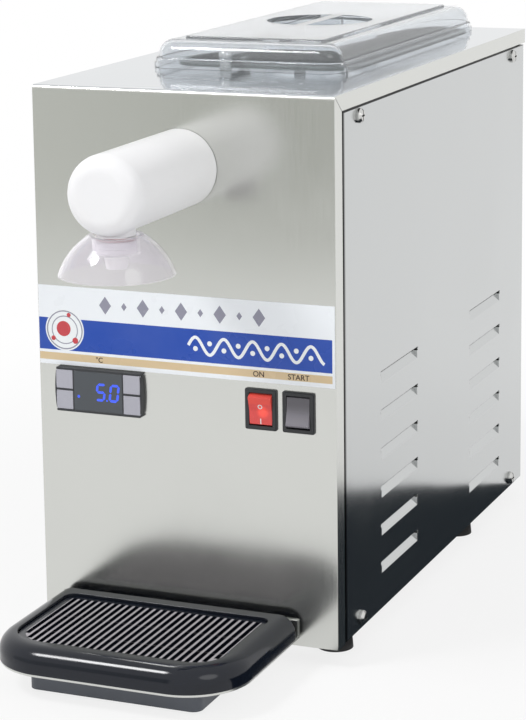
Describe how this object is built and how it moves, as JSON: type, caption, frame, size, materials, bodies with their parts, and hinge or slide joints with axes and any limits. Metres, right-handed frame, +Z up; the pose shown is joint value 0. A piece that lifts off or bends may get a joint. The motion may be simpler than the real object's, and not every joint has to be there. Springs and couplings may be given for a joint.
{
  "type": "cream whipper machine",
  "caption": "Table-top refrigerated cream whipper with a lidded container, gear pump, front dispensing head with a clear bell, controller, rocker switches and a drip tray",
  "frame": {"origin": "under the middle of the whole object, on the floor plane of the rubber feet", "axes": "+Z up, front with the dispensing head towards -Y, +X to the right of a person who faces the front"},
  "size_m": [0.269, 0.699, 0.492],
  "materials": {
    "stainless": "satin brushed stainless sheet",
    "black_rubber": "matt black rubber",
    "black_plastic": "moulded black plastic",
    "gloss_black": "glossy black moulded plastic",
    "printed_film": "printed film in white, blue and beige bands",
    "grey_plastic": "dark grey moulded plastic",
    "smoked_lens": "smoked display lens",
    "light_grey_plastic": "light grey moulded plastic",
    "red_plastic": "translucent red plastic",
    "red_rubber": "red silicone seal",
    "white_plastic": "white food-grade plastic, satin",
    "clear_plastic": "clear plastic",
    "foam": "rigid insulating foam",
    "copper": "drawn copper tube",
    "grey_paint": "grey painted housing",
    "black_paint": "black painted steel can",
    "aluminium_fins": "bare aluminium"
  },
  "bodies": {
    "cabinet": {"casing": "stainless", "left_side_panel": "stainless", "right_side_panel": "stainless", "rear_panel": "stainless", "base_plate": "stainless", "top_rails": "stainless", "side_panel_screws": "stainless", "rear_panel_screws": "stainless", "rubber_feet": "black_rubber", "foot_screws": "stainless", "cable_gland": "black_plastic", "printed_strip": "printed_film", "controller_housing": "grey_plastic", "display_lens": "smoked_lens", "on_switch_frame": "black_plastic", "start_switch_frame": "black_plastic", "outlet_spigot": "stainless", "spigot_seal": "red_rubber", "suction_pipe": "stainless", "cooling_well": "stainless", "well_insulation": "foam", "evaporator_coil": "copper", "pump_body": "stainless", "pump_cover": "stainless", "gear_motor": "grey_paint", "motor_bracket": "stainless", "motor_shelf": "stainless", "compressor": "black_paint", "compressor_grommets": "black_rubber", "condenser": "aluminium_fins", "fan_shroud": "black_plastic", "fan_bracket": "stainless", "fan_motor": "grey_paint", "filter_drier": "copper", "refrigerant_pipes": "copper", "tray_support": "stainless", "tray_support_screws": "stainless"},
    "set_button": {"set_button": "light_grey_plastic"},
    "standby_button": {"standby_button": "light_grey_plastic"},
    "up_button": {"up_button": "light_grey_plastic"},
    "down_button": {"down_button": "light_grey_plastic"},
    "on_rocker": {"on_rocker": "red_plastic"},
    "start_rocker": {"start_rocker": "black_plastic"},
    "head": {"dispensing_head": "white_plastic", "labyrinth_insert": "white_plastic", "bell_seal": "red_rubber"},
    "bell": {"bell": "clear_plastic", "star_nozzle": "white_plastic"},
    "container": {"cream_container": "stainless", "dip_tube": "stainless"},
    "lid": {"lid": "clear_plastic"},
    "drip_tray": {"drip_tray": "gloss_black"},
    "tray_grid": {"tray_grid": "black_plastic"},
    "pump_drive": {"drive_gear": "stainless", "drive_coupling": "black_plastic", "motor_shaft": "stainless"},
    "pump_driven": {"driven_gear": "stainless"},
    "fan": {"fan_blade": "aluminium_fins"}
  },
  "joints": [
    {"name": "container_lift", "type": "slide", "parent": "cabinet", "child": "container", "axis": [0, 0, 1], "range_m": [0, 0.09]},
    {"name": "lid_lift", "type": "slide", "parent": "container", "child": "lid", "axis": [0, 0, 1], "range_m": [0, 0.08]},
    {"name": "head_pull", "type": "slide", "parent": "cabinet", "child": "head", "axis": [0, -1, 0], "range_m": [0, 0.06]},
    {"name": "bell_pull", "type": "slide", "parent": "head", "child": "bell", "axis": [0, 0, -1], "range_m": [0, 0.03]},
    {"name": "set_press", "type": "slide", "parent": "cabinet", "child": "set_button", "axis": [0, 1, 0], "range_m": [0, 0.0006], "stiffness_N_per_m": 900},
    {"name": "standby_press", "type": "slide", "parent": "cabinet", "child": "standby_button", "axis": [0, 1, 0], "range_m": [0, 0.0006], "stiffness_N_per_m": 900},
    {"name": "up_press", "type": "slide", "parent": "cabinet", "child": "up_button", "axis": [0, 1, 0], "range_m": [0, 0.0006], "stiffness_N_per_m": 900},
    {"name": "down_press", "type": "slide", "parent": "cabinet", "child": "down_button", "axis": [0, 1, 0], "range_m": [0, 0.0006], "stiffness_N_per_m": 900},
    {"name": "on_tilt", "type": "hinge", "parent": "cabinet", "child": "on_rocker", "pos_m": [0.0672, -0.1815, 0.2113], "axis": [1, 0, 0], "range_deg": [-18, 0]},
    {"name": "start_tilt", "type": "hinge", "parent": "cabinet", "child": "start_rocker", "pos_m": [0.0995, -0.1815, 0.2113], "axis": [1, 0, 0], "range_deg": [0, 18], "stiffness_Nm_per_rad": 0.05},
    {"name": "pump_drive_turn", "type": "hinge", "parent": "cabinet", "child": "pump_drive", "pos_m": [0, -0.1565, 0.322], "axis": [0, 1, 0], "continuous": true},
    {"name": "pump_driven_turn", "type": "hinge", "parent": "cabinet", "child": "pump_driven", "pos_m": [0, -0.1565, 0.346], "axis": [0, 1, 0], "continuous": true},
    {"name": "fan_turn", "type": "hinge", "parent": "cabinet", "child": "fan", "pos_m": [0, 0.1055, 0.124], "axis": [0, 1, 0], "continuous": true},
    {"name": "tray_lift", "type": "slide", "parent": "cabinet", "child": "drip_tray", "axis": [0, 0, 1], "range_m": [0, 0.04]},
    {"name": "grid_lift", "type": "slide", "parent": "drip_tray", "child": "tray_grid", "axis": [0, 0, 1], "range_m": [0, 0.03]}
  ],
  "couplings": [
    {"joint": "pump_driven_turn", "follows": "pump_drive_turn", "ratio": -1}
  ]
}
